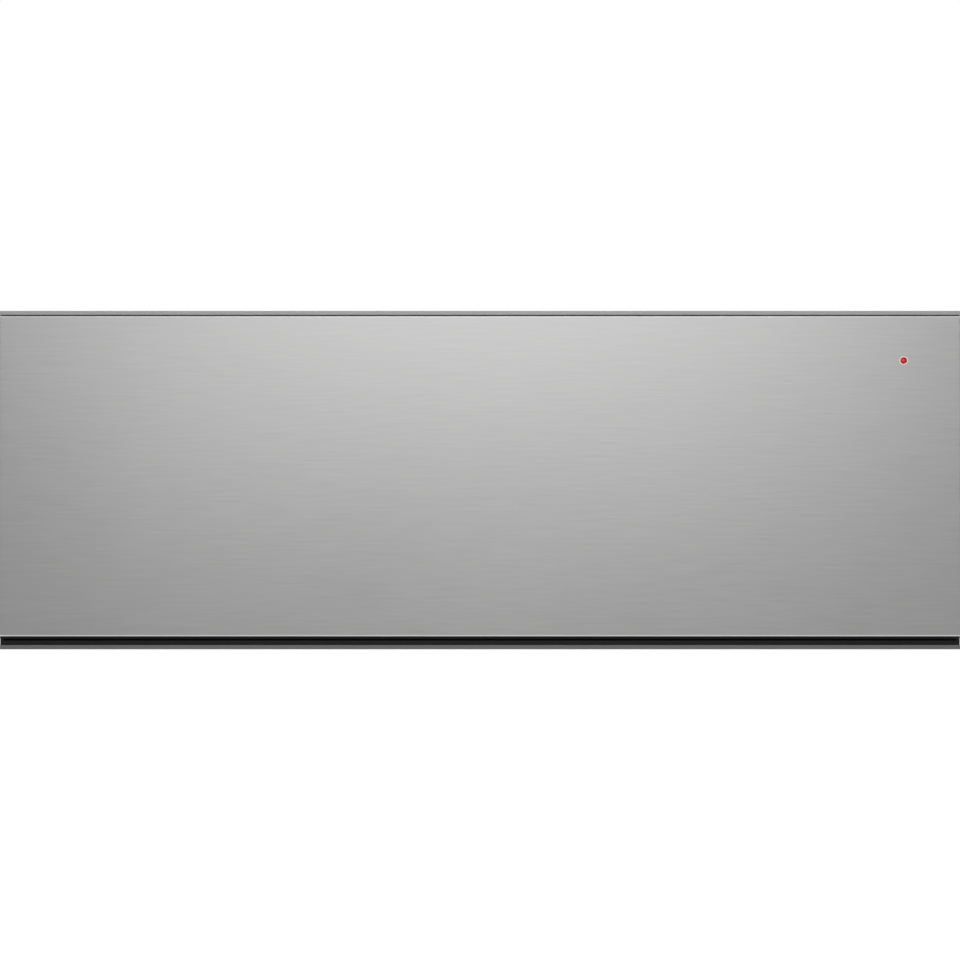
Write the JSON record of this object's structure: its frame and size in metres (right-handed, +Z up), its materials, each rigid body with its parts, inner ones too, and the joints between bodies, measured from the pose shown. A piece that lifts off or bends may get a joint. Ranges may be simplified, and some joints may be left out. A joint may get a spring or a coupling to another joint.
{
  "type": "warming drawer",
  "caption": "Built-in warming drawer: plain brushed steel front with a pilot light, sliding heated tub with glass floor and fan, in a sheet-metal housing.",
  "frame": {"origin": "on the floor under the middle of the whole object", "axes": "+Z up, the drawer front faces -Y and slides out along -Y, +X to the right as one faces the front"},
  "size_m": [0.756, 0.5946, 0.2662],
  "materials": {
    "stainless_front": "stainless steel, fine level brushing",
    "stainless_tub": "stainless steel, satin",
    "galvanised_sheet": "galvanised sheet with a fine spangle",
    "aluminised_sheet": "aluminised sheet, dull",
    "black_profile": "black, fine grained",
    "slide_steel": "bright zinc plated, rolled",
    "cage_steel": "bright strip with ground balls",
    "plated_fasteners": "bright plated steel",
    "spring_steel": "drawn spring wire and ground pins",
    "bumper_rubber": "black rubber",
    "latch_plastic": "grey moulded plastic",
    "inlet_plastic": "black moulded plastic",
    "knob_plastic": "black, fine grained, pale mark and numbers",
    "indicator_red": "clear red lens",
    "indicator_bezel": "pale translucent ring",
    "lead_insulation": "pale heat-proof sleeving",
    "floor_glass": "clear toughened glass with ground edges",
    "silicone": "dark silicone",
    "mineral_wool": "mineral wool mat, matted fibres",
    "heat_plate": "rolled aluminium",
    "element_sheath": "heat-tinted steel sheath",
    "thermostat_case": "brown-black moulding",
    "motor_case": "varnished steel",
    "fan_sheet": "pressed aluminium"
  },
  "bodies": {
    "housing": {"base_pan": "galvanised_sheet", "left_side_panel": "galvanised_sheet", "right_side_panel": "galvanised_sheet", "back_panel": "galvanised_sheet", "top_cover": "galvanised_sheet", "top_heat_shield": "aluminised_sheet", "top_insulation_mat": "mineral_wool", "top_trim": "stainless_front", "bottom_trim": "stainless_front", "air_gap_profile": "black_profile", "front_bumpers": "bumper_rubber", "left_rail_outer": "slide_steel", "right_rail_outer": "slide_steel", "latch_bodies": "latch_plastic", "latch_springs": "spring_steel", "cable_gland": "inlet_plastic", "gland_nut": "inlet_plastic", "terminal_block": "inlet_plastic", "housing_screws": "plated_fasteners", "housing_rivets": "plated_fasteners"},
    "latch_plungers": {"latch_plungers": "spring_steel"},
    "rail_middles": {"left_rail_middle": "slide_steel", "right_rail_middle": "slide_steel"},
    "outer_cages": {"outer_cages": "cage_steel"},
    "inner_cages": {"inner_cages": "cage_steel"},
    "drawer": {"front_panel": "stainless_front", "front_liner": "stainless_tub", "front_insulation_mat": "mineral_wool", "front_lower_strip": "black_profile", "indicator_ring": "indicator_bezel", "indicator_lens": "indicator_red", "indicator_lead": "lead_insulation", "drawer_left_side": "stainless_tub", "drawer_right_side": "stainless_tub", "drawer_floor": "stainless_tub", "drawer_back": "stainless_tub", "drawer_inner_front": "stainless_tub", "console_cap": "stainless_tub", "scale_plate": "knob_plastic", "rotary_switch": "inlet_plastic", "glass_floor": "floor_glass", "glass_seal": "silicone", "heat_spreader_plate": "heat_plate", "heating_element": "element_sheath", "element_clips": "aluminised_sheet", "heater_insulation_mat": "mineral_wool", "drawer_bottom_tray": "galvanised_sheet", "thermal_cutout": "thermostat_case", "left_rail_inner": "slide_steel", "right_rail_inner": "slide_steel", "front_brackets": "galvanised_sheet", "fan_shroud": "aluminised_sheet", "fan_motor": "motor_case", "striker_plates": "spring_steel", "drawer_screws": "plated_fasteners", "drawer_rivets": "plated_fasteners"},
    "knob": {"temperature_knob": "knob_plastic", "knob_shaft": "spring_steel"},
    "fan": {"fan_wheel": "fan_sheet", "fan_shaft": "spring_steel"}
  },
  "joints": [
    {"name": "push_in", "type": "slide", "parent": "housing", "child": "latch_plungers", "axis": [0, 1, 0], "range_m": [0, 0.003], "stiffness_N_per_m": 1500, "deforming": ["latch_springs"]},
    {"name": "drawer_slide", "type": "slide", "parent": "latch_plungers", "child": "drawer", "axis": [0, -1, 0], "range_m": [0, 0.45]},
    {"name": "middle_slide", "type": "slide", "parent": "housing", "child": "rail_middles", "axis": [0, -1, 0], "range_m": [0, 0.225]},
    {"name": "outer_cage_slide", "type": "slide", "parent": "housing", "child": "outer_cages", "axis": [0, -1, 0], "range_m": [0, 0.1125]},
    {"name": "inner_cage_slide", "type": "slide", "parent": "housing", "child": "inner_cages", "axis": [0, -1, 0], "range_m": [0, 0.3375]},
    {"name": "knob_turn", "type": "hinge", "parent": "drawer", "child": "knob", "pos_m": [0.2695, -0.2527, 0.2391], "axis": [0, 0, -1], "range_deg": [0, 270]},
    {"name": "fan_spin", "type": "hinge", "parent": "drawer", "child": "fan", "pos_m": [0, 0.2479, 0.1325], "axis": [0, 1, 0], "continuous": true}
  ],
  "couplings": [
    {"joint": "middle_slide", "follows": "drawer_slide", "ratio": 0.5},
    {"joint": "outer_cage_slide", "follows": "drawer_slide", "ratio": 0.25},
    {"joint": "inner_cage_slide", "follows": "drawer_slide", "ratio": 0.75}
  ]
}
